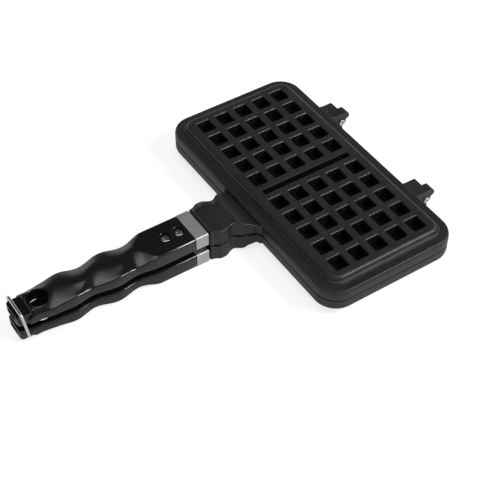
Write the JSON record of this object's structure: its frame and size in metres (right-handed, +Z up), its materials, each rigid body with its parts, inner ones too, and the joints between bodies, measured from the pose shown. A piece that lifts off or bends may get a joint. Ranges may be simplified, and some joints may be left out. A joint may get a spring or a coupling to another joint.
{
  "type": "stovetop waffle iron",
  "caption": "Hinged pair of cast plates with long moulded handles, for baking two waffles over a hob; a wire bail at the handle ends latches it shut.",
  "frame": {"origin": "centre of the closed iron's bounding box in plan, at the height of its lowest point, the underside of the lower ferrule", "axes": "+X from the handles to the hinges along the iron, +Y across the handles towards the left hinge pin, +Z up out of the upper plate"},
  "size_m": [0.305, 0.21, 0.0281],
  "materials": {
    "coated_casting": "satin black non-stick coating, finely textured",
    "handle_moulding": "glossy black heat-resistant moulding",
    "steel_band": "brushed",
    "zinc_screw": "zinc plated",
    "bright_wire": "polished"
  },
  "bodies": {
    "lower_half": {"lower_plate": "coated_casting", "lower_ferrule": "steel_band", "lower_handle": "handle_moulding", "lower_front_screw": "zinc_screw", "lower_rear_screw": "zinc_screw", "lower_front_washer": "zinc_screw", "lower_rear_washer": "zinc_screw", "left_hinge_pin": "bright_wire", "right_hinge_pin": "bright_wire"},
    "upper_half": {"upper_plate": "coated_casting", "upper_ferrule": "steel_band", "upper_handle": "handle_moulding", "upper_front_screw": "zinc_screw", "upper_rear_screw": "zinc_screw", "upper_front_washer": "zinc_screw", "upper_rear_washer": "zinc_screw"},
    "bail": {"latch_bail": "bright_wire"}
  },
  "joints": [
    {"name": "lid_hinge", "type": "hinge", "parent": "lower_half", "child": "upper_half", "pos_m": [0.1455, 0, 0.01375], "axis": [0, 1, 0], "range_deg": [0, 90]},
    {"name": "bail_swing", "type": "hinge", "parent": "lower_half", "child": "bail", "pos_m": [-0.147, 0, 0.00575], "axis": [0, -1, 0], "range_deg": [0, 95]}
  ]
}
